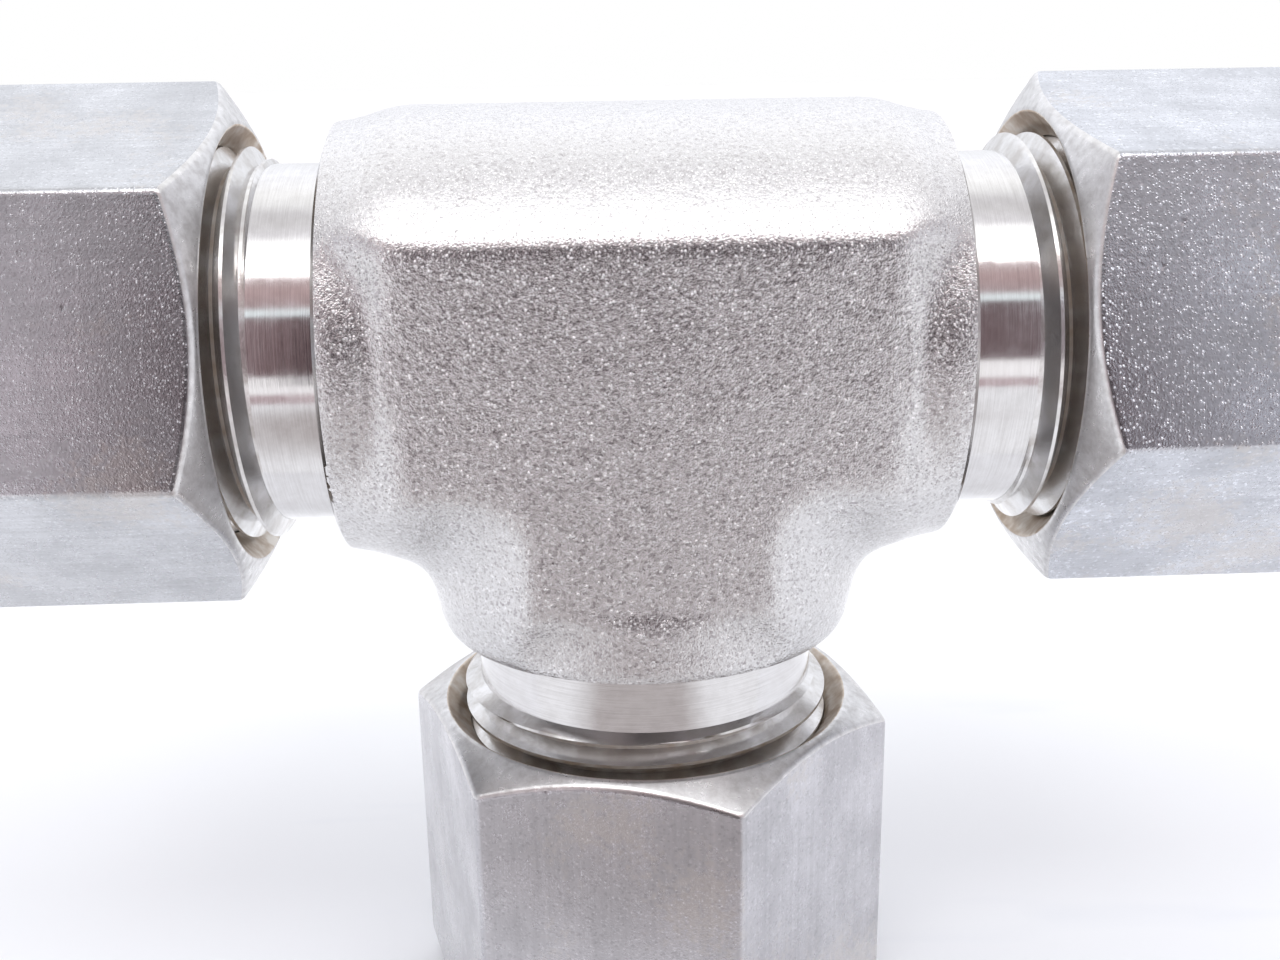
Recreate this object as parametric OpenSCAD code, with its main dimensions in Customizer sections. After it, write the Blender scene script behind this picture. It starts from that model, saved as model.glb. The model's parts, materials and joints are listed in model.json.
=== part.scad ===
// Union tee for 12.7 mm (1/2 in) tube: forged body with three compression ends.
// Each end carries a nut over a front ferrule and a back ferrule.
// Frame: run along X, branch down -Z, origin under the branch nut's end face.

/* [Forging] */
// Width across the flat pads, front to back
pad_across = 20.64; // [20.4:0.02:20.8]
// Radius of the thick middle of the forging
core_r = 11.6; // [11.4:0.1:11.8]
// Half length of the thick middle along the run
core_half = 11.3; // [10.8:0.1:11.8]
// Radius of the round barrel around each arm
barrel_r = 10.6; // [10.4:0.1:10.9]
// Centre of the tee to the machined shoulder of each arm
shoulder_s = 14.4; // [14:0.1:14.6]
// Rounding of the barrel's edge at the shoulder
barrel_round = 1.2; // [0.8:0.1:1.6]

/* [Arms] */
// Radius of the flow passage
flow_r = 5.2; // [4.8:0.1:5.5]
// Centre of the tee to the face that the tube end rests on
tube_stop_s = 13.2; // [12.8:0.1:13.8]
// Radius of the bore that takes the tube
tube_bore_r = 6.4; // [6.38:0.01:6.45]
// Depth of the ferrule seat, a cone at the mouth of each arm
seat_depth = 3.5; // [3.2:0.1:3.7]
// Slope angle of the ferrule seat, from the arm's axis
seat_angle = 20; // [18:1:21]
// Centre of the tee to the end face of each arm
arm_end_s = 27; // [26.6:0.1:27.2]
// Radius of the turned neck, and of the thread's root
neck_r = 8.7; // [8.7:0.01:8.74]
// Length of the turned neck
neck_len = 3.1; // [2.8:0.1:3.3]

/* [Thread] */
// Major radius of the 3/4-20 thread
thread_r = 9.525; // [9.5:0.005:9.53]
// Axial advance in one turn
pitch = 1.27; // [1.25:0.01:1.28]
// Minor radius of the thread in the nuts
nut_minor_r = 8.9; // [8.85:0.01:8.95]
// Radial gap between the arm's thread crest and the nut's thread root
thread_gap = 0.1; // [0.08:0.01:0.12]
// Axial gap between the two threads, on each flank
flank_gap = 0.07; // [0.06:0.01:0.08]
// Straight pieces in one turn of a thread
thread_steps = 36; // [24:6:36]

/* [Nuts] */
// Width across the flats of each nut
nut_across = 22.225; // [22:0.025:22.4]
// Length of each nut
nut_len = 17.5; // [17.3:0.1:17.8]
// Centre of the tee to the outer face of each nut, finger tight
nut_end_s = 36.5; // [36.4:0.1:36.7]
// Radius of the flat ring left on the nut's faces by the corner chamfer
nut_face_r = 10.7; // [10.6:0.1:10.9]
// Radius of the tube hole at the nut's outer end
nut_hole_r = 6.5; // [6.46:0.01:6.6]
// Turn of the left nut about its own axis, from flats facing front
left_turn = 12; // [-30:1:30]
// Turn of the right nut about its own axis, from flats facing front
right_turn = -16; // [-30:1:30]
// Turn of the branch nut about its own axis, from flats facing front
branch_turn = 12; // [-30:1:30]

/* [Ferrules] */
// Bore radius of both ferrules
ferrule_bore_r = 6.4; // [6.38:0.01:6.45]
// Outer radius of the front ferrule's rear collar
front_collar_r = 7.95; // [7.8:0.05:8]
// Length of the front ferrule
front_len = 5.6; // [5.4:0.1:5.7]
// Outer radius of the back ferrule's flange
back_flange_r = 7.9; // [7.8:0.05:7.95]
// Gap left between parts that seat on each other
seat_gap = 0.05; // [0.04:0.01:0.06]

/* [Hidden] */
$fn = 96;

forging_colour = [0.72, 0.70, 0.69];
nut_colour = [0.76, 0.77, 0.80];
ferrule_colour = [0.84, 0.84, 0.86];

// Half width of the thread's crest, and slope of its 60 degree flanks.
crest_half = pitch / 16;
flank_slope = tan(30);
// How far a thread ridge is sunk into the metal that carries it, and how deep its blunt ends lie.
ridge_sink = 0.12;
end_sink = 0.06;
// Steps over which a ridge rises from nothing at its blunt ends.
fade_steps = 5;

// Seat cone at the mouth of an arm.
seat_slope = tan(seat_angle);
seat_start_s = arm_end_s - seat_depth;
seat_mouth_r = tube_bore_r + seat_depth * seat_slope;

// External thread: its ridge starts inside the neck, under a steep lead-in cone.
thread_start_s = shoulder_s + neck_len;
ridge_start_s = thread_start_s - 0.2;
lead_slope = tan(60);
end_break = 0.15;
arm_end_r = neck_r - end_break;

// Nut, measured outwards from the centre of the tee.
nut_face_s = nut_end_s - nut_len;
nut_corner_r = nut_across / sqrt(3);
nut_chamfer = (nut_corner_r - nut_face_r) * tan(30);
nut_wall_r = thread_r + thread_gap;
nut_mouth_r = nut_wall_r + 0.9;
nut_thread_end_s = arm_end_s + 1.6;
nut_relief_s = nut_thread_end_s + 0.9;
nut_chamber_r = 8.2;
hole_break = 0.4;

// Front ferrule: its cone lies inside the seat, a small gap away.
front_nose_s = seat_start_s + 0.85;
front_end_s = front_nose_s + front_len;
front_bevel_r = ferrule_bore_r + 1.15;
front_bevel_s = front_end_s - 1.3;
cone_drop = seat_gap / cos(seat_angle);

// Back ferrule: its nose lies in the front ferrule's bevel.
bevel_slope = (front_bevel_r - ferrule_bore_r) / (front_end_s - front_bevel_s);
bevel_drop = seat_gap / cos(atan(bevel_slope));
back_nose_s = front_bevel_s + 0.45;
back_flange_s = front_end_s + 0.1;
back_shoulder_s = back_flange_s + 1.1;
back_end_r = ferrule_bore_r + 0.5;
back_end_s = back_shoulder_s + back_flange_r - back_end_r;

// 45 degree shoulder inside the nut, a small gap beyond the back ferrule.
nut_cone_s = back_shoulder_s - nut_chamber_r + back_flange_r + seat_gap * sqrt(2);
nut_cone_end_s = nut_cone_s + nut_chamber_r - nut_hole_r;

// Height of the centre of the tee above the branch nut's end face.
centre_h = nut_end_s;

// Turns local +Z, which points out of an arm, to that arm's direction.
module on_left() { translate([0, 0, centre_h]) rotate([0, -90, 0]) children(); }
module on_right() { translate([0, 0, centre_h]) rotate([0, 90, 0]) children(); }
module on_branch() { translate([0, 0, centre_h]) rotate([180, 0, 0]) children(); }

// Radius of the seat cone at distance s.
function seat_r(s) = tube_bore_r + (s - seat_start_s) * seat_slope;
// Radius of the front ferrule's bevel at distance s.
function bevel_r(s) = ferrule_bore_r + (s - front_bevel_s) * bevel_slope;
// Height share of a ridge at step i of n, 0 at its two ends.
function fade(i, n) = min(1, i / fade_steps, (n - i) / fade_steps);
// Half width of the arm's thread ridge at radius r.
function arm_half(r) = crest_half + (thread_r - r) * flank_slope;
// Half width of the nut's thread ridge at radius r, in the arm's groove.
function nut_half(r) = pitch / 2 - arm_half(r) - flank_gap;
// Crest radius of the arm's thread at distance s, cut by the lead-in chamfers.
function arm_crest(s) =
    max(neck_r - end_sink,
        min(thread_r, neck_r + (s - thread_start_s) * lead_slope, arm_end_r + arm_end_s - s));
// Crest radius of the nut's thread at distance s, cut by the mouth's countersink.
function nut_crest(s) = min(nut_wall_r + end_sink, max(nut_minor_r, nut_mouth_r - s + nut_face_s));

// Corners of one ring of a ridge: root, crest, crest, root.
function ring_points(angle, s, root, crest_a, crest_b, root_half, top_half) =
    [for (p = [[root, s - root_half], [crest_a, s - top_half],
               [crest_b, s + top_half], [root, s + root_half]])
        [p[0] * cos(angle), p[0] * sin(angle), p[1]]];

// Faces of a tube of n rings with four corners each, closed at both ends.
function tube_faces(n) =
    concat([[3, 2, 1, 0]],
           [for (i = [0 : n - 2]) for (j = [0 : 3])
               [4 * i + j, 4 * i + (j + 1) % 4, 4 * i + 4 + (j + 1) % 4, 4 * i + 4 + j]],
           [[4 * n - 4, 4 * n - 3, 4 * n - 2, 4 * n - 1]]);

// Helical ridge of the thread on an arm.
module arm_ridge() {
    root = neck_r - ridge_sink;
    root_half = arm_half(root);
    low = neck_r - end_sink;
    last = arm_end_s - root_half - end_break - 0.05;
    n = floor((last - ridge_start_s) / pitch * thread_steps);
    points = [for (i = [0 : n])
        let (s = ridge_start_s + i * pitch / thread_steps,
             share = min(1, (n - i) / fade_steps),
             a = low + (arm_crest(s - crest_half) - low) * share,
             b = low + (arm_crest(s + crest_half) - low) * share)
        each ring_points(i * 360 / thread_steps, s, root, a, b, root_half, crest_half)];
    polyhedron(points, tube_faces(n + 1), convexity = 10);
}

// Helical ridge of the thread in a nut, half a pitch from the arm's ridge.
module nut_ridge() {
    root = nut_wall_r + ridge_sink;
    root_half = nut_half(root);
    minor_half = nut_half(nut_minor_r);
    buried = nut_wall_r + end_sink;
    phase_s = ridge_start_s + pitch / 2;
    skip = ceil((nut_face_s + root_half + 0.05 - phase_s) / pitch * thread_steps);
    first = phase_s + skip * pitch / thread_steps;
    last = nut_thread_end_s - root_half;
    n = floor((last - first) / pitch * thread_steps);
    points = [for (i = [0 : n])
        let (s = first + i * pitch / thread_steps,
             a = buried + (nut_crest(s - minor_half) - buried) * fade(i, n),
             b = buried + (nut_crest(s + minor_half) - buried) * fade(i, n))
        each ring_points((skip + i) * 360 / thread_steps, s, root, a, b, root_half, minor_half)];
    polyhedron(points, [for (f = tube_faces(n + 1)) [f[3], f[2], f[1], f[0]]], convexity = 10);
}

// Round forged barrel of one arm, from the end of the pads to the shoulder.
module arm_barrel() {
    rotate_extrude()
        polygon([[0, core_half], [barrel_r, core_half],
            for (a = [0 : 15 : 75])
                [barrel_r - barrel_round + barrel_round * cos(a),
                 shoulder_s - barrel_round + barrel_round * sin(a)],
            [barrel_r - barrel_round * 0.75, shoulder_s], [0, shoulder_s]]);
}

// Turned end of one arm: neck, lead-in and thread core.
module arm_turned() {
    rotate_extrude()
        polygon([[0, 0], [neck_r, 0], [neck_r, arm_end_s - end_break],
            [arm_end_r, arm_end_s], [0, arm_end_s]]);
    arm_ridge();
}

// Everything that is bored out of one arm.
module arm_bore() {
    rotate_extrude()
        polygon([[0, 0], [flow_r, 0], [flow_r, tube_stop_s], [tube_bore_r, tube_stop_s],
            [tube_bore_r, seat_start_s], [seat_mouth_r, arm_end_s],
            [seat_mouth_r + seat_slope, arm_end_s + 1], [0, arm_end_s + 1]]);
}

// Thick middle of the forging, with its T-shaped flat pads front and back.
module forged_middle() {
    translate([0, 0, centre_h]) intersection() {
        union() {
            rotate([0, 90, 0]) cylinder(r = core_r, h = 2 * core_half, center = true);
            rotate([180, 0, 0]) cylinder(r = core_r, h = core_half);
        }
        cube([4 * core_r, pad_across, 4 * core_r], center = true);
    }
}

module tee_body() {
    color(forging_colour) difference() {
        union() {
            forged_middle();
            on_left() arm_barrel();
            on_right() arm_barrel();
            on_branch() arm_barrel();
            on_left() arm_turned();
            on_right() arm_turned();
            on_branch() arm_turned();
        }
        on_left() arm_bore();
        on_right() arm_bore();
        on_branch() arm_bore();
    }
}

// Hexagonal nut: chamfered outside, threaded inside, with a 45 degree shoulder.
module nut(turn) {
    color(nut_colour) {
        difference() {
            intersection() {
                translate([0, 0, nut_face_s])
                    rotate([0, 0, turn])
                    cylinder(r = nut_corner_r, h = nut_len, $fn = 6);
                rotate_extrude()
                    polygon([[0, nut_face_s], [nut_face_r, nut_face_s],
                        [nut_corner_r + 1, nut_face_s + nut_chamfer + tan(30)],
                        [nut_corner_r + 1, nut_end_s - nut_chamfer - tan(30)],
                        [nut_face_r, nut_end_s], [0, nut_end_s]]);
            }
            rotate_extrude()
                polygon([[0, nut_face_s - 1], [nut_mouth_r + 1, nut_face_s - 1],
                    [nut_wall_r, nut_face_s + nut_mouth_r - nut_wall_r],
                    [nut_wall_r, nut_relief_s], [nut_chamber_r, nut_relief_s],
                    [nut_chamber_r, nut_cone_s], [nut_hole_r, nut_cone_end_s],
                    [nut_hole_r, nut_end_s - hole_break],
                    [nut_hole_r + hole_break + 1, nut_end_s + 1], [0, nut_end_s + 1]]);
        }
        nut_ridge();
    }
}

// Front ferrule: a cone for the seat, with a bevel behind for the back ferrule.
module front_ferrule() {
    collar_s = seat_start_s + (front_collar_r + cone_drop - tube_bore_r) / seat_slope;
    edge = 0.3;
    color(ferrule_colour) rotate_extrude()
        polygon([[ferrule_bore_r, front_nose_s],
            [seat_r(front_nose_s) - cone_drop, front_nose_s],
            [front_collar_r, collar_s], [front_collar_r, front_end_s - edge],
            [front_collar_r - edge, front_end_s], [front_bevel_r, front_end_s],
            [ferrule_bore_r, front_bevel_s]]);
}

// Back ferrule: a thin nose, a flange and a 45 degree back face.
module back_ferrule() {
    color(ferrule_colour) rotate_extrude()
        polygon([[ferrule_bore_r, back_nose_s],
            [bevel_r(back_nose_s) - bevel_drop, back_nose_s],
            [bevel_r(back_flange_s) - bevel_drop, back_flange_s],
            [back_flange_r, back_flange_s], [back_flange_r, back_shoulder_s],
            [back_end_r, back_end_s], [ferrule_bore_r, back_end_s]]);
}

module left_nut() { on_left() nut(left_turn); }
module left_front_ferrule() { on_left() front_ferrule(); }
module left_back_ferrule() { on_left() back_ferrule(); }
module right_nut() { on_right() nut(right_turn); }
module right_front_ferrule() { on_right() front_ferrule(); }
module right_back_ferrule() { on_right() back_ferrule(); }
module branch_nut() { on_branch() nut(branch_turn); }
module branch_front_ferrule() { on_branch() front_ferrule(); }
module branch_back_ferrule() { on_branch() back_ferrule(); }

tee_body();
left_nut();
left_front_ferrule();
left_back_ferrule();
right_nut();
right_front_ferrule();
right_back_ferrule();
branch_nut();
branch_front_ferrule();
branch_back_ferrule();
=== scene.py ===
import json
import math

import bmesh
import bpy
import numpy as np
from mathutils import Matrix, Vector


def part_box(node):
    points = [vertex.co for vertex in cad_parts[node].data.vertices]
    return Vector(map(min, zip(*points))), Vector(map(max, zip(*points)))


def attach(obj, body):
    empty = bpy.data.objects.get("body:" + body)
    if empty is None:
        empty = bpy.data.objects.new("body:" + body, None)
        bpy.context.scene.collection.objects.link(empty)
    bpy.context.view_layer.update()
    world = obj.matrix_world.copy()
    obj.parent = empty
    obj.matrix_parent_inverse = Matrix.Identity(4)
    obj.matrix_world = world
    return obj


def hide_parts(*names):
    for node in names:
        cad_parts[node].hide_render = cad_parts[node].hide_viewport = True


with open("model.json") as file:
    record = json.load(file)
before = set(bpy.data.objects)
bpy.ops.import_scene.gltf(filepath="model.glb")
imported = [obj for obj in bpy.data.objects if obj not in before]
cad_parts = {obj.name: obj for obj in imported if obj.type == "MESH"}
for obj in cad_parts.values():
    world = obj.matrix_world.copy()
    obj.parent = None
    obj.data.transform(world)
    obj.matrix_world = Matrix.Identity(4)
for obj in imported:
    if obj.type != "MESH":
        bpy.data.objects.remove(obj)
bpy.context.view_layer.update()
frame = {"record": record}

MM = 0.001
TAU = 2 * math.pi

# ---------------------------------------------------------------- measures, in millimetres
# Everything about an arm is measured along its axis from the centre of the tee, as s, and out
# from the axis, as r.
BODY_LOW, BODY_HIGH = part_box("tee_body")
ARM_END = BODY_HIGH.x / MM
CENTRE = Vector((0, 0, BODY_LOW.z + BODY_HIGH.x))
NUT_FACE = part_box("right_nut")[0].x / MM
NUT_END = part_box("right_nut")[1].x / MM
FRONT_NOSE, FRONT_END = (p.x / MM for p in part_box("right_front_ferrule"))
BACK_NOSE, BACK_END = (p.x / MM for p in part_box("right_back_ferrule"))
FRONT_COLLAR_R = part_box("right_front_ferrule")[1].y / MM
BACK_FLANGE_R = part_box("right_back_ferrule")[1].y / MM
PORTS = {m["name"]: m for m in frame["record"]["mounts"]}
TUBE_R = PORTS["right_tube_port"]["dims"]["r_mm"]
PAD_Y = -PORTS["front_wrench_pad"]["pos_m"][1] / MM

NECK_R = 8.7
SHOULDER = 14.4
THREAD_START = 17.5
THREAD_R = 9.525
PITCH = 1.27
RIDGE_START = THREAD_START - 0.2
FLANK = math.tan(math.radians(30))
CREST_HALF = PITCH / 16
FLOW_R = 5.2
TUBE_STOP = 13.2
SEAT_DEPTH = 3.5
SEAT_MOUTH_R = TUBE_R + SEAT_DEPTH * math.tan(math.radians(20))

NUT_APOTHEM = 22.225 / 2
NUT_FACE_R = 10.7
NUT_WALL_R = THREAD_R + 0.1
NUT_MOUTH_R = NUT_WALL_R + 0.9
NUT_MINOR_R = 8.9
NUT_HOLE_R = 6.5
NUT_CHAMBER_R = 8.2
FLANK_GAP = 0.07
SEAT_GAP = 0.05
NUT_TURN = {"left": 12, "right": -16, "branch": 12}

ARM_TURN = {
    "left": Matrix.Rotation(-math.pi / 2, 4, "Y"),
    "right": Matrix.Rotation(math.pi / 2, 4, "Y"),
    "branch": Matrix.Rotation(math.pi, 4, "X"),
}


def arm_matrix(arm):
    """Takes a point in an arm's own frame, in millimetres with Z outwards, to the row frame."""
    return Matrix.Translation(CENTRE) @ ARM_TURN[arm] @ Matrix.Scale(MM, 4)


# ---------------------------------------------------------------- materials
class Nodes:
    """Short forms for wiring a node tree; every method returns an output socket."""

    def __init__(self, tree):
        self.tree = tree

    def add(self, kind, inputs=None, out=0, **settings):
        node = self.tree.nodes.new(kind)
        for key, value in settings.items():
            setattr(node, key, value)
        for key, value in (inputs or {}).items():
            if isinstance(value, bpy.types.NodeSocket):
                self.tree.links.new(value, node.inputs[key])
            else:
                node.inputs[key].default_value = value
        return node.outputs[out] if len(node.outputs) else None

    def math(self, operation, *values, clamp=False):
        return self.add("ShaderNodeMath", dict(enumerate(values)), operation=operation, use_clamp=clamp)

    def ramp(self, factor, stops, interpolation="LINEAR"):
        """Colour ramp; a stop is (position, colour), and a number stands for that grey."""
        socket = self.add("ShaderNodeValToRGB", {0: factor})
        ramp = socket.node.color_ramp
        ramp.interpolation = interpolation
        while len(ramp.elements) < len(stops):
            ramp.elements.new(0.5)
        for element, (position, colour) in zip(ramp.elements, stops):
            element.position = position
            element.color = (*((colour,) * 3 if isinstance(colour, (int, float)) else colour), 1)
        return socket

    def mix(self, factor, a, b, blend_type="MIX"):
        """Mix of two colours, each a socket or a colour with its alpha."""
        return self.add("ShaderNodeMix", {"Factor": factor, "A": a, "B": b}, out="Result",
                        data_type="RGBA", blend_type=blend_type)

    def noise(self, vector, scale, detail=2.0, roughness=0.5):
        inputs = {"Vector": vector, "Scale": scale, "Detail": detail, "Roughness": roughness}
        return self.add("ShaderNodeTexNoise", inputs)

    def stretch(self, vector, scale):
        return self.add("ShaderNodeMapping", {"Vector": vector, "Scale": scale})

    def grit(self, vector, scale):
        """Round bumps side by side: their height, each its own, and a random number for each."""
        cells = self.add("ShaderNodeTexVoronoi", {"Vector": vector, "Scale": scale, "Randomness": 1.0})
        luck = self.add("ShaderNodeSeparateColor", {0: cells.node.outputs["Color"]})
        return self.ramp(cells, [(0.0, 1.0), (0.48, 0.0)], "EASE"), luck

    def bump(self, height, depth, strength=1.0, normal=None):
        """Bump whose height runs from 0 to depth metres."""
        inputs = {"Height": height, "Distance": depth, "Strength": strength}
        if normal is not None:
            inputs["Normal"] = normal
        return self.add("ShaderNodeBump", inputs)


def new_material(name):
    """A new material, its nodes and its shader."""
    material = bpy.data.materials.new(name)
    material.use_nodes = True
    shader = next(x for x in material.node_tree.nodes if x.type == "BSDF_PRINCIPLED")
    return material, Nodes(material.node_tree), shader


def metal(name):
    """A new metal, its nodes, its shader and its object coordinates in millimetres."""
    material, n, shader = new_material(name)
    shader.inputs["Metallic"].default_value = 1.0
    here = n.add("ShaderNodeTexCoord", out="Object")
    return material, n, shader, n.stretch(here, (1 / MM, 1 / MM, 1 / MM))


def finish_metal(n, shader, colour, roughness, normal):
    links = n.tree.links
    links.new(colour, shader.inputs["Base Color"])
    links.new(roughness, shader.inputs["Roughness"])
    links.new(normal, shader.inputs["Normal"])


def forged_steel():
    """Forged stainless skin, blasted: shallow swells, grit marks that glint, partly through painted
    glints in their colour, and a broken grain.

    The grit bites less on the rounded top of the run, and there the skin is painted paler: a painted
    highlight.
    """
    material, n, shader, p = metal("forged_steel_skin")
    height = n.add("ShaderNodeSeparateXYZ", {0: p}).node.outputs["Z"]
    top = CENTRE.z / MM
    bite_and_top_highlight = n.add("ShaderNodeMapRange", {"Value": height, "From Min": top + 4.8, "From Max": top + 6.8,
                                        "To Min": 1.0, "To Max": 0.58})
    marks, luck = n.grit(p, 7.5)
    marks = n.math("MULTIPLY", marks, luck)
    grain = n.noise(p, 5.0, 3, 0.6)
    fine = n.noise(p, 11.0, 3, 0.6)
    swell = n.noise(p, 0.4, 2, 0.5)
    normal = n.bump(swell, 0.00009)
    normal = n.bump(marks, 0.000040, bite_and_top_highlight, normal)
    normal = n.bump(grain, 0.000050, bite_and_top_highlight, normal)
    normal = n.bump(fine, 0.000022, bite_and_top_highlight, normal)
    depth = n.math("ADD", n.math("MULTIPLY", grain, 0.5), n.math("MULTIPLY", fine, 0.5))
    # the skin is painted darker where the grain is low: painted shade in its hollows
    skin = n.ramp(depth, [(0.36, (0.50, 0.49, 0.495)), (0.46, (0.60, 0.595, 0.60)),
                          (0.56, (0.63, 0.625, 0.635)), (0.66, (0.70, 0.70, 0.71))])
    # the tallest grit marks are painted brighter, as painted glints, and the lowest are painted darker,
    # as painted shade in the pits
    painted_glints_and_pit_shade = n.ramp(luck, [(0.03, (0.70, 0.68, 0.69)), (0.20, 1.0), (0.88, 1.0), (0.97, 1.22)])
    # on the rounded top the colour is painted paler: a painted highlight where the top catches the
    # overhead light
    painted_glints_and_pit_shade = n.mix(bite_and_top_highlight, (1.2, 1.2, 1.21, 1.0), painted_glints_and_pit_shade)
    colour = n.mix(1.0, skin, painted_glints_and_pit_shade, "MULTIPLY")
    roughness = n.math("MULTIPLY_ADD", bite_and_top_highlight, -0.26, n.ramp(fine, [(0.3, 0.37), (0.7, 0.48)]))
    finish_metal(n, shader, colour, roughness, normal)
    return material


def turned_steel(name, axis, bright=1.0, rough=0.10):
    """Turned stainless: fine tool lines around the axis, which is 0 for X or 2 for Z."""
    material, n, shader, p = metal(name)
    along = [0.35, 0.35, 0.35]
    along[axis] = 16.0
    lines = n.noise(n.stretch(p, tuple(along)), 1.0, 3, 0.65)
    along[axis] = 3.0
    bands = n.noise(n.stretch(p, tuple(along)), 1.0, 2, 0.5)
    smear = n.noise(p, 1.3, 3, 0.6)
    normal = n.bump(lines, 0.0000020)
    normal = n.bump(bands, 0.0000025, 1.0, normal)
    tone = n.math("ADD", n.math("MULTIPLY", lines, 0.6), n.math("MULTIPLY", smear, 0.4))
    low = tuple(bright * v for v in (0.56, 0.55, 0.55))
    high = tuple(bright * v for v in (0.68, 0.675, 0.68))
    colour = n.ramp(tone, [(0.34, low), (0.62, high)])
    roughness = n.ramp(smear, [(0.3, rough), (0.7, rough + 0.06)])
    finish_metal(n, shader, colour, roughness, normal)
    return material


def threaded_steel():
    """Flanks and tips of the body's threads: cut bright, a little warm where they have worn."""
    material, n, shader, p = metal("body_thread")
    wear = n.noise(p, 0.9, 3, 0.6)
    fine = n.noise(p, 5, 2, 0.5)
    colour = n.ramp(wear, [(0.34, (0.52, 0.50, 0.485)), (0.5, (0.62, 0.61, 0.605)),
                           (0.66, (0.70, 0.695, 0.70))])
    roughness = n.ramp(wear, [(0.3, 0.27), (0.7, 0.18)])
    finish_metal(n, shader, colour, roughness, n.bump(fine, 0.000004))
    return material


def nut_turned_steel(name, axis):
    """Faced and chamfered ends of a nut: satin, with a mottled bloom and faint tool lines."""
    material, n, shader, p = metal(name)
    along = [0.5, 0.5, 0.5]
    along[axis] = 9.0
    lines = n.noise(n.stretch(p, tuple(along)), 1.0, 3, 0.6)
    mottle = n.noise(p, 1.9, 4, 0.65)
    fine = n.noise(p, 9, 2, 0.6)
    normal = n.bump(lines, 0.000004)
    normal = n.bump(fine, 0.000006, 1.0, normal)
    colour = n.ramp(mottle, [(0.33, (0.50, 0.49, 0.49)), (0.5, (0.60, 0.595, 0.60)),
                             (0.68, (0.68, 0.675, 0.68))])
    roughness = n.ramp(mottle, [(0.3, 0.36), (0.7, 0.25)])
    finish_metal(n, shader, colour, roughness, normal)
    return material


def nut_bore_steel():
    """Inside of a nut: its thread and mouth, stained a dull warm brown by old thread grease."""
    material, n, shader, p = metal("nut_bore")
    stain = n.noise(p, 0.9, 3, 0.6)
    fine = n.noise(p, 12, 2, 0.6)
    colour = n.ramp(stain, [(0.35, (0.50, 0.40, 0.31)), (0.5, (0.62, 0.54, 0.46)),
                            (0.66, (0.74, 0.70, 0.65))])
    roughness = n.ramp(stain, [(0.3, 0.50), (0.7, 0.38)])
    finish_metal(n, shader, colour, roughness, n.bump(fine, 0.000006))
    return material


def drawn_steel(name, axis, tint, glitter, shine):
    """Hexagon bar, blasted: satin, with glinting grit marks, partly painted glints in their colour,
    faint drawing lines and warm stains.

    glitter is the number of grit marks a millimetre, and shine, 0 to 1, how much they stand out, in
    their bump and in the brightness of their painted glints.
    """
    material, n, shader, p = metal(name)
    marks, luck = n.grit(p, glitter)
    marks = n.math("MULTIPLY", marks, n.ramp(luck, [(0.35, 0.15), (1.0, 1.0)]))
    fine = n.noise(p, 8.0, 3, 0.6)
    across = [4.0, 4.0, 4.0]
    across[axis] = 0.08
    drawn = n.noise(n.stretch(p, tuple(across)), 1.0, 3, 0.6)
    clouds = n.noise(p, 0.28, 4, 0.62)
    dents = n.add("ShaderNodeTexVoronoi", {"Vector": p, "Scale": 0.45, "Randomness": 1.0},
                  out="Distance")
    dents = n.ramp(dents, [(0.0, 0.0), (0.10, 1.0)], "EASE")
    normal = n.bump(marks, 0.0003 * shine / glitter)
    normal = n.bump(fine, 0.000014, 1.0, normal)
    normal = n.bump(drawn, 0.000004, 1.0, normal)
    normal = n.bump(dents, 0.00002, 1.0, normal)
    tone = n.math("ADD", n.math("MULTIPLY", clouds, 0.7), n.math("MULTIPLY", drawn, 0.3))
    bar = n.ramp(tone, [(level, tuple(base * t for t in tint))
                        for level, base in ((0.36, 0.42), (0.52, 0.49), (0.66, 0.56))])
    # the tallest grit marks are painted brighter, as painted glints, and the lowest are painted a
    # little darker, as painted shade in the pits
    painted_glints_and_pit_shade = n.ramp(luck, [(0.03, 0.86), (0.16, 1.0), (0.88, 1.0), (0.97, 1 + 0.4 * shine)])
    bar = n.mix(1.0, bar, painted_glints_and_pit_shade, "MULTIPLY")
    stain = n.math("ADD", n.math("MULTIPLY", n.noise(p, 0.13, 2, 0.5), 0.6),
                   n.math("MULTIPLY", n.noise(p, 2.2, 4, 0.7), 0.4))
    stain = n.ramp(stain, [(0.54, 0.0), (0.62, 0.6)])
    colour = n.mix(stain, bar, (0.535, 0.51, 0.495, 1.0))
    roughness = n.ramp(clouds, [(0.35, 0.32), (0.65, 0.22)])
    finish_metal(n, shader, colour, roughness, normal)
    return material


FORGED = forged_steel()
TURNED = {"left": turned_steel("turned_run", 0), "branch": turned_steel("turned_branch", 2)}
TURNED["right"] = TURNED["left"]
NUT_RUN, NUT_BRANCH = nut_turned_steel("nut_end_run", 0), nut_turned_steel("nut_end_branch", 2)
TURNED_NUT = {"left": NUT_RUN, "right": NUT_RUN, "branch": NUT_BRANCH}
# the three nuts are one steel; the right one's brighter, bluer tint is a painted reflection of cool
# light
DRAWN = {"left": drawn_steel("nut_flat_left", 0, (0.98, 1.00, 1.05), 10.0, 0.5),
         "right": drawn_steel("nut_flat_right", 0, (1.04, 1.07, 1.15), 7.5, 0.8),
         "branch": drawn_steel("nut_flat_branch", 2, (0.98, 0.97, 1.02), 9.0, 0.35)}
NUT_BORE, THREADED = nut_bore_steel(), threaded_steel()
RING_RUN = turned_steel("ferrule_run", 0, 1.05, 0.18)
RING_BRANCH = turned_steel("ferrule_branch", 2, 1.05, 0.18)
FERRULE = {"left": RING_RUN, "right": RING_RUN, "branch": RING_BRANCH}


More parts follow.
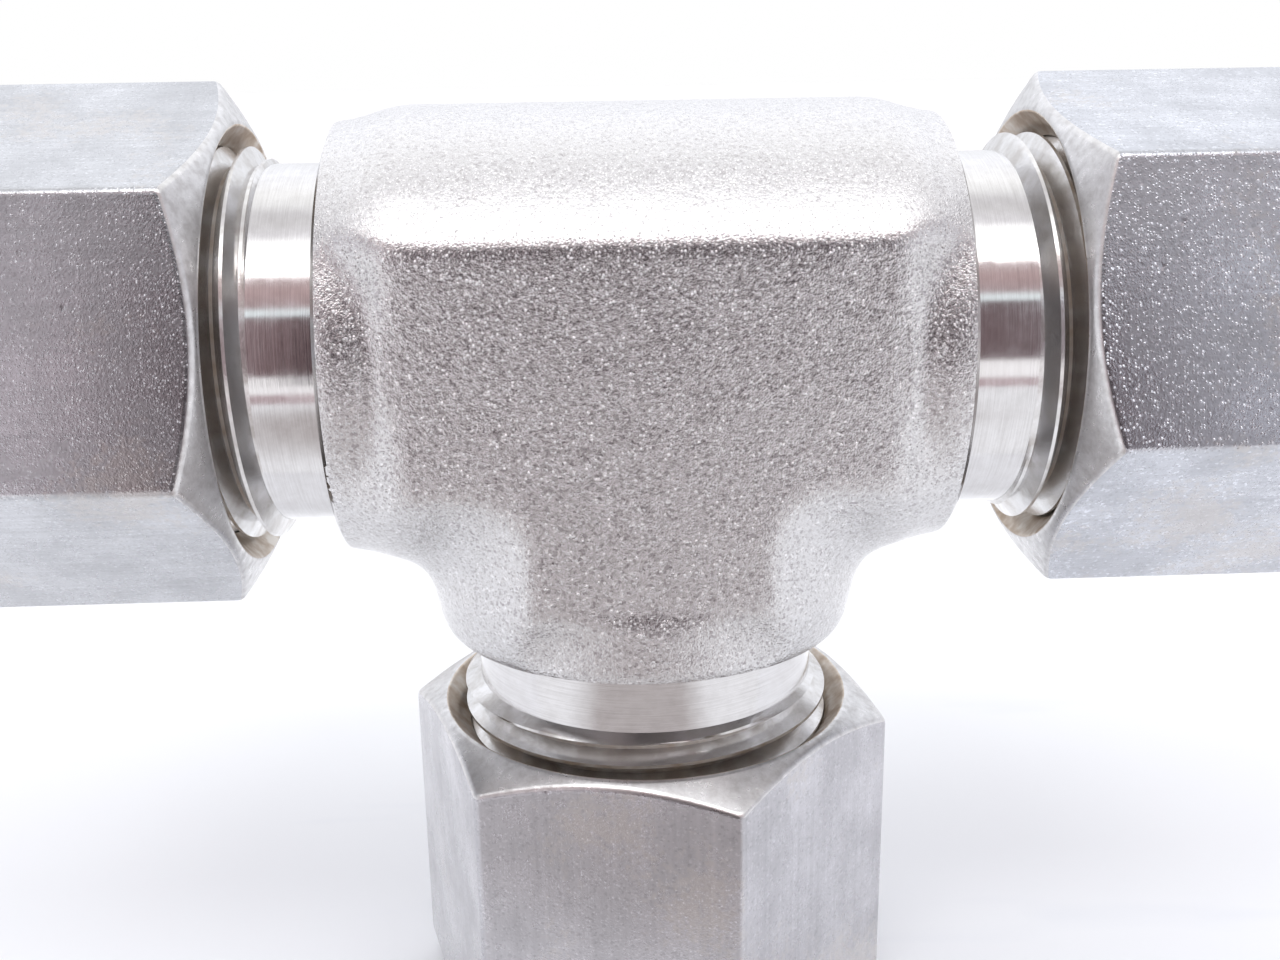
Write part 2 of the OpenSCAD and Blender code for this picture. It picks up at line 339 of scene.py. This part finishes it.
# ---------------------------------------------------------------- meshes
def make_object(name, verts, faces, matrix, materials=(), chosen=0):
    """A closed mesh object from points, with doubled points welded and no empty faces.

    All its faces get the chosen one of its materials.
    """
    mesh = bpy.data.meshes.new(name)
    mesh.from_pydata([tuple(v) for v in verts], [], [tuple(f) for f in faces])
    bm = bmesh.new()
    bm.from_mesh(mesh)
    bmesh.ops.remove_doubles(bm, verts=bm.verts, dist=2e-4)
    bmesh.ops.dissolve_degenerate(bm, edges=bm.edges, dist=1e-5)
    bmesh.ops.recalc_face_normals(bm, faces=bm.faces)
    bm.transform(matrix)
    for face in bm.faces:
        face.material_index = chosen
    bm.to_mesh(mesh)
    bm.free()
    for material in materials:
        mesh.materials.append(material)
    obj = bpy.data.objects.new(name, mesh)
    bpy.context.scene.collection.objects.link(obj)
    return obj


def lathe(name, angles, loop, arm, materials=(), chosen=0):
    """Turns a closed loop of (r, s) points about an arm's axis.

    loop(angle) gives the loop at an angle, so that it may change along the way, as a thread
    does. The last angle is a full turn on from the first, and the seam is welded.
    """
    rings = np.array([loop(a) for a in angles])
    count, size = rings.shape[:2]
    turn = np.asarray(angles)[:, None]
    verts = np.stack([rings[..., 0] * np.cos(turn), rings[..., 0] * np.sin(turn), rings[..., 1]], -1)
    here = np.arange(size)
    after = (here + 1) % size
    if not rings[..., 0][:, [0, -1]].any():
        here, after = here[:-1], after[:-1]      # both ends of the loop are on the axis
    faces = []
    for k in range(count - 1):
        a, b = k * size, (k + 1) * size
        faces.extend(np.stack([a + here, a + after, b + after, b + here], -1).tolist())
    return make_object(name, verts.reshape(-1, 3), faces, arm_matrix(arm), materials, chosen)


def eased(corners):
    """A loop of (r, s, ease) corners with each corner eased over that length on both sides."""
    points = []
    for i, (r, s, ease) in enumerate(corners):
        here = np.array([r, s])
        if not ease:
            points.append(here)
            continue
        before = np.array(corners[i - 1][:2]) - here
        after = np.array(corners[(i + 1) % len(corners)][:2]) - here
        start = here + before / np.linalg.norm(before) * ease
        end = here + after / np.linalg.norm(after) * ease
        for t in (0, 0.33, 0.67, 1):
            points.append((1 - t) ** 2 * start + 2 * t * (1 - t) * here + t * t * end)
    return np.array(points)


def even_angles(count):
    return np.linspace(0, TAU, count + 1)


def shade(obj, degrees=30):
    """Smooth shading, with a crisp edge wherever two faces meet more sharply than degrees."""
    for p in obj.data.polygons:
        p.use_smooth = True
    obj.data.set_sharp_from_angle(angle=math.radians(degrees))
    return obj


def combine(target, operation, other):
    """Boolean of two closed meshes; other is used up."""
    modifier = target.modifiers.new("combine", "BOOLEAN")
    modifier.operation = operation
    modifier.solver = "MANIFOLD"
    modifier.object = other
    bpy.context.view_layer.update()
    graph = bpy.context.evaluated_depsgraph_get()
    mesh = bpy.data.meshes.new_from_object(target.evaluated_get(graph))
    target.modifiers.clear()
    old = target.data
    target.data = mesh
    mesh.name = target.name
    bpy.data.meshes.remove(old)
    bpy.data.objects.remove(other)
    return target


# ---------------------------------------------------------------- thread
def thread_rows(first_s, last_s, flat_half, tip_r, base_r, half):
    """Offsets and radii of a thread's rows: from one pitch before first_s to one past last_s.

    flat_half is half the width of the ridge's tip at tip_r, and half the ridge's half width
    where it meets base_r. Offsets are from the ridge's line at angle 0.
    """
    steps = np.linspace(0, 1, 5)
    up = np.stack([-half + (half - flat_half) * steps, base_r + (tip_r - base_r) * steps], -1)
    down = np.stack([-up[::-1, 0], up[::-1, 1]], -1)
    ridge = np.concatenate([up, down])
    turns = np.arange(math.floor(first_s / PITCH) - 2, math.ceil(last_s / PITCH) + 2)
    rows = np.concatenate([ridge + (k * PITCH, 0) for k in turns])
    return rows[:, 0], rows[:, 1]


# ---------------------------------------------------------------- tee body
def smooth_min(a, b, k):
    h = np.clip(0.5 + 0.5 * (b - a) / k, 0, 1)
    return b + (a - b) * h - k * h * (1 - h)


def smooth_max(a, b, k):
    return -smooth_min(-a, -b, k)


def rounded_barrel(radial, along, radius, end, edge):
    """Distance to a round barrel that reaches from the centre to end, with its edge rounded."""
    q = np.stack([radial - (radius - edge), along - (end - edge)])
    outside = np.sqrt((np.maximum(q, 0) ** 2).sum(0))
    return outside + np.minimum(q.max(0), 0) - edge


# The forging is measured in millimetres from the tee's centre. Its thick middle is a core along
# the run and one down the branch, each an ellipse in section, and a round barrel ends each arm.
RUN_WIDE, RUN_WIDE_BELOW = 12.08, 11.68      # half width of the run's core, above and below its axis
RUN_HIGH, RUN_HIGH_BELOW = 11.35, 10.9
BRANCH_HALF, BRANCH_WIDE = 11, 11.95         # of the branch's core, along X and along Y
CORE_HALF = 11.1         # half length of the run's core, at the pads
BRANCH_CORE = 10.9       # centre to the lower end of the branch's pad
CORE_END = 13.9          # the sloping end walls reach no further out than this
FALL_START = 10.5        # from here out the run's core falls away,
BRANCH_FALL_START = 10.8     # and from here down the branch's,
FALL_R = 5.5                 # as an arc of this radius does
WALL_LEAN = 1.9          # how far out an end wall goes for each millimetre it is behind the pad
WALL_SCALE = 0.47        # about 1 / hypot(1, WALL_LEAN), which makes it a distance
BARREL_R = 10.45
BRANCH_BARREL_R = BARREL_R + 0.1
BARREL_LIFT = 0.2        # of the run's barrels above its axis
BARREL_END = 15.0
BARREL_EDGE, BRANCH_EDGE = 1.0, 1.5
WAIST_DEPTH, WAIST_END, WAIST_LENGTH = 0.3, 13.8, 1.8


def end_wall(along, half, behind_pad):
    """A core's end: beside the pads it slopes out as it goes back."""
    return np.maximum((along - half - behind_pad) * WALL_SCALE, along - CORE_END)


def forging(p):
    """Signed distance, roughly, from the forged skin, for points in millimetres (3 by any)."""
    x, y, z = p
    ax, ay, down = np.abs(x), np.abs(y), np.maximum(-z, 0)
    behind_pad = (PAD_Y - ay) * WALL_LEAN
    wide, high = np.where(z > 0, RUN_WIDE, RUN_WIDE_BELOW), np.where(z > 0, RUN_HIGH, RUN_HIGH_BELOW)
    run = (np.sqrt((y / wide) ** 2 + (z / high) ** 2) - 1) * high
    run += np.maximum(ax - FALL_START, 0) ** 2 / (2 * FALL_R)
    run = smooth_max(run, end_wall(ax, CORE_HALF, behind_pad), 0.4)
    branch = (np.sqrt((x / BRANCH_HALF) ** 2 + (y / BRANCH_WIDE) ** 2) - 1) * BRANCH_HALF
    branch += np.maximum(down - BRANCH_FALL_START, 0) ** 2 / (2 * FALL_R)
    branch = smooth_max(branch, end_wall(down, BRANCH_CORE, behind_pad), 0.4)
    core = smooth_min(run, np.maximum(branch, z), 1.8)
    # the barrels are waisted next to the cores, and the branch's ends above the run's axis
    waist = WAIST_DEPTH * np.clip((WAIST_END - ax) / WAIST_LENGTH, 0, 1) ** 2
    radial = np.hypot(y, z - BARREL_LIFT)
    run_barrel = rounded_barrel(radial, ax, BARREL_R, BARREL_END, BARREL_EDGE) + waist
    along = down + np.maximum(z, 0) * 4
    branch_barrel = rounded_barrel(np.hypot(x, y), along, BRANCH_BARREL_R, BARREL_END, BRANCH_EDGE)
    whole = smooth_min(core, smooth_min(run_barrel, branch_barrel, 1.2), 0.6)
    # the pads are flat as far as the cores go, and the skin comes forward again past them
    past_pad = np.maximum(ax - CORE_HALF, 0) + np.maximum(down - BRANCH_CORE, 0)
    return smooth_max(whole, ay - PAD_Y - past_pad * 0.4, 0.25)


def gradient(field, p, step=0.02):
    out = np.empty_like(p)
    for axis in range(3):
        d = np.zeros((3, 1))
        d[axis] = step
        out[axis] = (field(p + d) - field(p - d)) / (2 * step)
    return out


def skin_of(field, low, high, cell):
    """Closed quad mesh of a field's zero surface: one point a cell, moved onto the surface."""
    axes = [np.arange(a, b + cell, cell) for a, b in zip(low, high)]
    grid = np.stack(np.meshgrid(*axes, indexing="ij"))
    value = field(grid.reshape(3, -1)).reshape(grid.shape[1:])
    shape = np.array(value.shape)
    total = np.zeros((3,) + tuple(shape - 1))
    hits = np.zeros(tuple(shape - 1))
    for axis in range(3):
        a = np.moveaxis(value, axis, 0)
        t = a[:-1] / np.where(a[:-1] == a[1:], 1, a[:-1] - a[1:])
        crossing = (a[:-1] < 0) != (a[1:] < 0)
        t = np.moveaxis(np.where(crossing, t, 0), 0, axis)
        crossing = np.moveaxis(crossing, 0, axis)
        sides = [k for k in range(3) if k != axis]
        for i in (0, 1):
            for j in (0, 1):
                cut = [slice(None)] * 3
                cut[sides[0]] = slice(i, shape[sides[0]] - 1 + i)
                cut[sides[1]] = slice(j, shape[sides[1]] - 1 + j)
                c, share = crossing[tuple(cut)], t[tuple(cut)]
                offset = [np.zeros(c.shape)] * 3
                offset[axis] = share
                offset[sides[0]] = np.full(c.shape, float(i))
                offset[sides[1]] = np.full(c.shape, float(j))
                total += np.stack(offset) * c
                hits += c
    used = np.flatnonzero(hits.ravel())
    index = np.full(hits.size, -1)
    index[used] = np.arange(len(used))
    index = index.reshape(hits.shape)
    place = (total.reshape(3, -1)[:, used] / hits.ravel()[used])
    place += np.stack(np.unravel_index(used, hits.shape))
    points = place * cell + np.array([a[0] for a in axes])[:, None]
    faces = []
    for axis in range(3):
        sides = [k for k in range(3) if k != axis]
        a = np.moveaxis(value, axis, 0)
        crossing = np.moveaxis((a[:-1] < 0) != (a[1:] < 0), 0, axis)
        falling = np.moveaxis(a[:-1] < 0, 0, axis)
        at = np.argwhere(crossing)
        inside = (at > 0) & (at < shape - 1)
        at = at[inside[:, sides[0]] & inside[:, sides[1]]]
        e0, e1 = np.eye(3, dtype=int)[sides[0]], np.eye(3, dtype=int)[sides[1]]
        quad = np.stack([index[tuple((at - d).T)] for d in (e0 * 0, e0, e0 + e1, e1)], -1)
        flip = falling[tuple(at.T)] == (axis != 1)
        quad[flip] = quad[flip][:, ::-1]
        faces.append(quad)
    for _ in range(4):
        slope = gradient(field, points)
        points = points - field(points) * slope / np.maximum((slope ** 2).sum(0), 1e-6)
    return points.T, np.concatenate(faces)


BODY_MATERIALS = (FORGED, TURNED["left"], TURNED["branch"], THREADED)
THREAD_SLOT = 3


def body_finish(arm):
    """The body's materials, and which of them an arm's turned faces have."""
    return BODY_MATERIALS, BODY_MATERIALS.index(TURNED[arm])


def arm_solid(arm):
    """Turned end of an arm: neck, then a right-hand thread with chamfered ends."""
    half = CREST_HALF + (THREAD_R - NECK_R) * FLANK
    offsets, radii = thread_rows(0, ARM_END - RIDGE_START, CREST_HALF, THREAD_R, NECK_R, half)
    fixed = eased([(0, 8, 0), (NECK_R - 0.02, 8, 0), (NECK_R, SHOULDER + 0.5, 0)])

    def loop(angle):
        s = np.clip(RIDGE_START + PITCH * angle / TAU + offsets, THREAD_START, ARM_END)
        lead_in = NECK_R + (s - THREAD_START) * math.tan(math.radians(60))
        end = NECK_R - 0.15 + (ARM_END - s)
        r = np.minimum(np.minimum(radii, lead_in), end)
        return np.concatenate([fixed, np.stack([r, s], -1), [(0, ARM_END)]])

    return lathe(arm + "_end", even_angles(216), loop, arm, *body_finish(arm))


def shoulder_cutter(arm):
    """What is faced off an arm's shoulder, with a narrow bevel round its rim."""
    rim = BARREL_R - (0.3 if arm == "branch" else 0.1)
    bevel, outside, past = 0.2, 14, SHOULDER + 3
    loop = np.array([(0, SHOULDER), (rim - bevel, SHOULDER), (rim, SHOULDER - bevel),
                     (outside, SHOULDER - bevel), (outside, past), (0, past)])
    return lathe(arm + "_cut", even_angles(240), lambda angle: loop, arm, *body_finish(arm))


def bore_cutter(arm):
    """Flow passage, tube socket and ferrule seat of an arm."""
    seat = ARM_END - SEAT_DEPTH
    slope = (SEAT_MOUTH_R - TUBE_R) / SEAT_DEPTH
    loop = np.array([(0, -1), (FLOW_R, -1), (FLOW_R, TUBE_STOP), (TUBE_R, TUBE_STOP), (TUBE_R, seat),
                     (SEAT_MOUTH_R - 0.1 * slope, ARM_END - 0.1), (SEAT_MOUTH_R + 0.15, ARM_END + 0.02),
                     (SEAT_MOUTH_R + 0.15, ARM_END + 2), (0, ARM_END + 2)])
    return lathe(arm + "_bore", even_angles(144), lambda angle: loop, arm, *body_finish(arm))


SKIN_LOW, SKIN_HIGH = (-15.3, -11.3, -15.3), (15.3, 11.3, 12.3)      # just clear of the forging
SKIN_CELL = 0.26


def tee_body():
    points, faces = skin_of(forging, SKIN_LOW, SKIN_HIGH, SKIN_CELL)
    place = Matrix.Translation(CENTRE) @ Matrix.Scale(MM, 4)
    body = make_object("tee_body_forging", points, faces, place, BODY_MATERIALS)
    for arm in ARM_TURN:
        combine(body, "DIFFERENCE", shoulder_cutter(arm))
    for arm in ARM_TURN:
        combine(body, "UNION", arm_solid(arm))
    for arm in ARM_TURN:
        combine(body, "DIFFERENCE", bore_cutter(arm))
    for arm, turn in ARM_TURN.items():
        axis = turn @ Vector((0, 0, 1))
        for face in body.data.polygons:
            out = face.center - CENTRE
            along = out.dot(axis)
            if along > THREAD_START * MM and (out - along * axis).length > (NECK_R - 0.2) * MM:
                face.material_index = THREAD_SLOT
    return shade(body)


# ---------------------------------------------------------------- nuts
def nut_angles(turn):
    """Even angles, with more of them where the hexagon's corners are."""
    corners = math.radians(turn) + np.arange(6) * TAU / 6
    near = np.radians([-1.6, -1.2, -0.9, -0.6, -0.3, 0, 0.3, 0.6, 0.9, 1.2, 1.6])     # of a corner
    extra = (corners[:, None] + near).ravel() % TAU
    return np.unique(np.round(np.concatenate([even_angles(144), extra]), 6))


def hexagon_r(angle, turn, edge=0.42):
    """Radius of a hexagon with rounded corners, in the direction of angle."""
    d = abs((angle - math.radians(turn) + TAU / 12) % (TAU / 6) - TAU / 12)
    cos30 = math.cos(TAU / 12)
    centre = (NUT_APOTHEM - edge) / cos30
    if d < math.atan2(edge / 2, centre + edge * cos30):
        return centre * math.cos(d) + math.sqrt(edge ** 2 - (centre * math.sin(d)) ** 2)
    return NUT_APOTHEM / math.cos(TAU / 12 - d)


def nut(arm):
    turn = NUT_TURN[arm]
    relief = ARM_END + 1.6

    def half_at(r):
        return PITCH / 2 - CREST_HALF - (THREAD_R - r) * FLANK - FLANK_GAP

    offsets, radii = thread_rows(NUT_FACE - RIDGE_START, relief - RIDGE_START, half_at(NUT_MINOR_R),
                                 NUT_MINOR_R, NUT_WALL_R, half_at(NUT_WALL_R))
    cone = BACK_END + SEAT_GAP * math.sqrt(2) - (NUT_CHAMBER_R - (TUBE_R + 0.5))
    cone_end = cone + NUT_CHAMBER_R - NUT_HOLE_R

    def loop(angle):
        corner_r = hexagon_r(angle, turn)
        drop = (corner_r - NUT_FACE_R) * FLANK
        outside = eased([
            (NUT_HOLE_R, cone_end, 0), (NUT_HOLE_R, NUT_END - 0.45, 0.08),
            (NUT_HOLE_R + 0.45, NUT_END, 0.1),
            (NUT_FACE_R, NUT_END, 0.12), (corner_r, NUT_END - drop, 0.28),
            (corner_r, NUT_FACE + drop, 0.28), (NUT_FACE_R, NUT_FACE, 0.12),
            (NUT_MOUTH_R, NUT_FACE, 0.06), (NUT_MOUTH_R - 0.1, NUT_FACE + 0.1, 0)])
        s = np.clip(RIDGE_START + PITCH * (angle / TAU + 0.5) + offsets, NUT_FACE + 0.1, relief)
        mouth = NUT_MOUTH_R - (s - NUT_FACE)
        run_out = NUT_WALL_R - (relief - s)
        r = np.maximum(np.maximum(radii, mouth), run_out)
        inside = eased([(NUT_WALL_R, relief + 0.9, 0.1), (NUT_CHAMBER_R, relief + 0.9, 0.1),
                        (NUT_CHAMBER_R, cone, 0)])
        return np.concatenate([outside[1:], np.stack([r, s], -1), inside, [(NUT_HOLE_R, cone_end)]])

    finishes = (TURNED_NUT[arm], DRAWN[arm], NUT_BORE)
    flat_slot, bore_slot = 1, 2
    piece = lathe(arm + "_nut_machined", nut_angles(turn), loop, arm, finishes)
    axis = ARM_TURN[arm] @ Vector((0, 0, 1))
    for face in piece.data.polygons:
        out = face.center - CENTRE
        along = out.dot(axis)
        out -= along * axis
        if abs(face.normal.dot(axis)) < 0.2 and out.length > (NUT_APOTHEM - 0.1) * MM:
            face.material_index = flat_slot
        elif face.normal.dot(out) < 0 and along < (relief + 1) * MM:
            face.material_index = bore_slot
    return shade(piece)


# ---------------------------------------------------------------- ferrules
def front_ferrule(arm):
    slope = math.tan(math.radians(20))
    drop = SEAT_GAP / math.cos(math.radians(20))
    seat = ARM_END - SEAT_DEPTH
    nose_r = TUBE_R + (FRONT_NOSE - seat) * slope - drop
    collar = seat + (FRONT_COLLAR_R + drop - TUBE_R) / slope
    loop = eased([(TUBE_R, FRONT_NOSE, 0.04), (nose_r, FRONT_NOSE, 0.05), (FRONT_COLLAR_R, collar, 0.2),
                  (FRONT_COLLAR_R, FRONT_END - 0.3, 0.06), (FRONT_COLLAR_R - 0.3, FRONT_END, 0.06),
                  (TUBE_R + 1.15, FRONT_END, 0.04), (TUBE_R, FRONT_END - 1.3, 0.06)])
    name = arm + "_front_ferrule_turned"
    return shade(lathe(name, even_angles(120), lambda angle: loop, arm, (FERRULE[arm],)))


def back_ferrule(arm):
    bevel = 1.15 / 1.3
    drop = SEAT_GAP / math.cos(math.atan(bevel))
    flange = FRONT_END + 0.1
    shoulder = flange + 1.1
    nose_r = TUBE_R + (BACK_NOSE - FRONT_END + 1.3) * bevel - drop
    root_r = TUBE_R + (flange - FRONT_END + 1.3) * bevel - drop
    loop = eased([(TUBE_R, BACK_NOSE, 0.03), (nose_r, BACK_NOSE, 0.03), (root_r, flange, 0.04),
                  (BACK_FLANGE_R, flange, 0.08), (BACK_FLANGE_R, shoulder, 0.08),
                  (TUBE_R + 0.5, BACK_END, 0.08), (TUBE_R, BACK_END, 0.08)])
    name = arm + "_back_ferrule_turned"
    return shade(lathe(name, even_angles(120), lambda angle: loop, arm, (FERRULE[arm],)))


# ---------------------------------------------------------------- studio
def quad(name, corners):
    """A flat object with four corners."""
    mesh = bpy.data.meshes.new(name)
    mesh.from_pydata(corners, [], [(0, 1, 2, 3)])
    obj = bpy.data.objects.new(name, mesh)
    bpy.context.scene.collection.objects.link(obj)
    return obj


def flat(x0, x1, y0, y1, z):
    """Corners of a level rectangle."""
    return [(x0, y0, z), (x1, y0, z), (x1, y1, z), (x0, y1, z)]


def upright(x0, x1, y, z0, z1):
    """Corners of an upright rectangle that faces along Y."""
    return [(x0, y, z0), (x1, y, z0), (x1, y, z1), (x0, y, z1)]


def floor():
    side = 1.5
    obj = quad("floor", flat(-side, side, -side, side, 0))
    material, n, shader = new_material("pale_floor")
    shader.inputs["Roughness"].default_value = 0.6
    here = n.add("ShaderNodeTexCoord", out="Object")
    depth = n.add("ShaderNodeSeparateXYZ", {0: here}).node.outputs["Y"]
    depth = n.math("MULTIPLY_ADD", depth, 2.0, 0.5)
    # the floor is painted darker and bluer from about 11 cm in front of the tee to behind it, darkest 6
    # cm in front: a painted soft shadow
    base = n.ramp(depth, [(0.08, 0.97), (0.28, 0.93), (0.38, (0.75, 0.78, 0.82)),
                          (0.525, (0.84, 0.86, 0.89)), (0.7, (0.94, 0.95, 0.97)), (1.0, 0.98)])
    smears = n.noise(n.stretch(here, (14, 60, 1)), 1.0, 4, 0.6)
    smears = n.ramp(smears, [(0.30, (0.93, 0.94, 0.96)), (0.42, 1.0)])
    material.node_tree.links.new(n.mix(1.0, base, smears, "MULTIPLY"), shader.inputs["Base Color"])
    # reflected in the metal, the floor glows a little, a painted brightening of its reflection that
    # stands in for how bright it really is; seen straight on it does not glow
    mirrored = n.add("ShaderNodeLightPath", out="Is Glossy Ray")
    shader.inputs["Emission Color"].default_value = (1.0, 1.0, 1.0, 1)
    material.node_tree.links.new(n.math("MULTIPLY", mirrored, 0.22), shader.inputs["Emission Strength"])
    obj.data.materials.append(material)


def card(name, corners, paint):
    """A glowing card round the object, seen only in its reflections.

    paint(n, where) gives its colour, where being a point on the card in metres.
    """
    obj = quad(name, corners)
    material = bpy.data.materials.new(name)
    material.use_nodes = True
    material.node_tree.nodes.clear()
    n = Nodes(material.node_tree)
    glow = n.add("ShaderNodeEmission", {"Color": paint(n, n.add("ShaderNodeTexCoord", out="Object"))})
    n.add("ShaderNodeOutputMaterial", {"Surface": glow})
    obj.data.materials.append(material)
    obj.visible_camera = False
    obj.visible_shadow = False
    obj.visible_diffuse = False


def flag_paint(n, where):
    """Dark and mauve in the middle, paler to the sides and bluer on the right."""
    across = n.math("MULTIPLY_ADD", n.add("ShaderNodeSeparateXYZ", {0: where}), 5.0, 0.5)
    return n.ramp(across, [(0.05, (0.98, 0.89, 0.93)), (0.20, (0.90, 0.79, 0.83)),
                           (0.27, (0.30, 0.20, 0.21)), (0.78, (0.23, 0.165, 0.175)),
                           (0.85, (0.78, 0.78, 0.84)), (0.97, (0.94, 0.96, 1.02))])


def stand_paint(n, where):
    """Near black, as a camera and its stand are, with a little unevenness."""
    return n.ramp(n.noise(where, 25, 2, 0.5), [(0.3, (0.05, 0.035, 0.04)), (0.7, (0.11, 0.085, 0.09))])


def patch_paint(x, y, half_x, half_y, middle):
    """Paints a shaded patch of table round (x, y), fading out to the table's own brightness."""
    def paint(n, where):
        place = n.add("ShaderNodeMapping", {"Vector": where, "Location": (-x / half_x, -y / half_y, 0),
                                            "Scale": (1 / half_x, 1 / half_y, 0)})
        away = n.add("ShaderNodeVectorMath", {0: place}, out="Value", operation="LENGTH")
        mottle = n.math("MULTIPLY_ADD", n.noise(where, 40, 2, 0.5), 0.3, -0.15)
        return n.ramp(n.math("ADD", away, mottle), [(0.55, middle), (0.95, (1.2, 1.2, 1.24))])
    return paint


def strip_paint(n, where):
    """A dull pink strip, a little uneven."""
    return n.ramp(n.noise(where, 30, 2, 0.5), [(0.3, (0.56, 0.42, 0.44)), (0.7, (0.74, 0.58, 0.61))])


def tent():
    """World: a light tent that is banded over the object, as its polished faces show.

    The camera itself sees plain white.
    """
    world = bpy.data.worlds.new("light_tent")
    bpy.context.scene.world = world
    world.use_nodes = True
    n = Nodes(world.node_tree)
    world.node_tree.nodes.clear()
    way = n.add("ShaderNodeTexCoord", out="Generated")
    parts = n.add("ShaderNodeSeparateXYZ", {0: way}).node.outputs
    front = n.math("MULTIPLY", parts["Y"], -1.0)
    turn = n.math("DIVIDE", n.math("ARCTAN2", parts["Z"], front), math.pi)
    above = n.math("ADD", n.math("MULTIPLY", turn, 0.5), 0.5)

    def at(degrees):
        """Place on the ramp of an angle up from the horizon in front, over the top to the back."""
        return 0.5 + degrees / 360

    dark, pale = (0.21, 0.135, 0.145), (1.30, 1.42, 1.46)
    bands = n.ramp(above, [
        (at(-180), 0.9), (at(26.5), dark), (at(28.5), pale), (at(31.5), pale),
        (at(33), (0.58, 0.45, 0.46)), (at(44), (0.66, 0.48, 0.48)), (at(54), (0.74, 0.62, 0.62)),
        (at(61), (0.90, 0.84, 0.84)), (at(66), 1.9), (at(76), 1.9), (at(81), (1.14, 1.12, 1.16)),
        (at(90), (0.97, 0.95, 0.96)), (at(99), (0.97, 0.95, 0.97)), (at(108), 1.32), (at(118), 1.5),
        (at(145), (1.46, 1.48, 1.55)), (at(163), (1.2, 1.22, 1.27)), (at(180), (0.94, 0.95, 0.99))])
    sides = n.ramp(n.math("ADD", n.math("MULTIPLY", parts["Z"], 0.5), 0.5),
                   [(0.5, (1.2, 1.2, 1.25)), (0.60, (1.1, 1.1, 1.16)), (0.75, (0.62, 0.60, 0.64)),
                    (0.92, 1.5)])
    side = n.ramp(n.math("ABSOLUTE", parts["X"]), [(0.55, 0.0), (0.9, 1.0)], "EASE")
    light = n.mix(side, bands, sides)
    seen = n.add("ShaderNodeLightPath", out="Is Camera Ray")
    colour = n.mix(seen, light, (1.0, 1.0, 1.0, 1.0))
    glow = n.add("ShaderNodeBackground", {"Color": colour, "Strength": 1.0})
    n.add("ShaderNodeOutputWorld", {"Surface": glow})


def area_light(name, place, target, size, power):
    light = bpy.data.lights.new(name, "AREA")
    light.shape = "RECTANGLE"
    light.size, light.size_y = size
    light.energy = power
    obj = bpy.data.objects.new(name, light)
    obj.location = place
    obj.rotation_euler = (Vector(target) - Vector(place)).to_track_quat("-Z", "Y").to_euler()
    bpy.context.scene.collection.objects.link(obj)


def camera():
    """Stands a little above the tee and in front of it, tipped down and turned slightly."""
    data = bpy.data.cameras.new("camera")
    data.sensor_width = 36
    data.lens = 40.86
    data.clip_start = 0.005
    obj = bpy.data.objects.new("camera", data)
    tip, roll, yaw = (math.radians(v) for v in (17.006, -0.926, 2.054))
    level = Matrix(((1, 0, 0), (0, 0, -1), (0, 1, 0)))
    tipped = Matrix.Rotation(roll, 3, "Z") @ Matrix.Rotation(tip, 3, "X") @ level
    turn = (tipped @ Matrix.Rotation(yaw, 3, "Z")).transposed() @ Matrix.Diagonal((1, -1, -1))
    place = CENTRE + Vector((-2.667, -71.374, 14.295)) * MM
    obj.matrix_world = Matrix.Translation(place) @ turn.to_4x4()
    bpy.context.scene.collection.objects.link(obj)
    bpy.context.scene.camera = obj


# ---------------------------------------------------------------- assembly
camera()
floor()
tent()
area_light("key", (0.0, -0.16, 0.30), CENTRE, (0.30, 0.06), 0.25)
card("flag", upright(-0.1, 0.1, -0.125, 0.018, 0.1), flag_paint)
card("stand", upright(-0.037, 0.036, -0.12, 0.006, 0.1), stand_paint)
card("table_shade", flat(-0.2, 0.2, -0.1, -0.014, 0.0005),
     patch_paint(-0.005, -0.050, 0.040, 0.038, (0.66, 0.61, 0.61)))
card("back_shade", flat(-0.12, 0.12, 0.05, 0.16, 0.0005),
     patch_paint(0, 0.105, 0.075, 0.045, (0.36, 0.33, 0.34)))
card("table_strip", flat(-0.05, 0.05, -0.102, -0.078, 0.001), strip_paint)
bpy.context.scene.view_settings.view_transform = "Standard"

pieces = [(tee_body(), "tee", "tee_body", "forged_steel")]
for arm in ARM_TURN:
    pieces.append((nut(arm), arm + "_nut_turning", arm + "_nut", "nut_steel"))
    pieces.append((front_ferrule(arm), arm + "_ferrules", arm + "_front_ferrule", "ferrule_steel"))
    pieces.append((back_ferrule(arm), arm + "_ferrules", arm + "_back_ferrule", "ferrule_steel"))
for piece, body, node, slot in pieces:
    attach(piece, body)
    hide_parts(node)
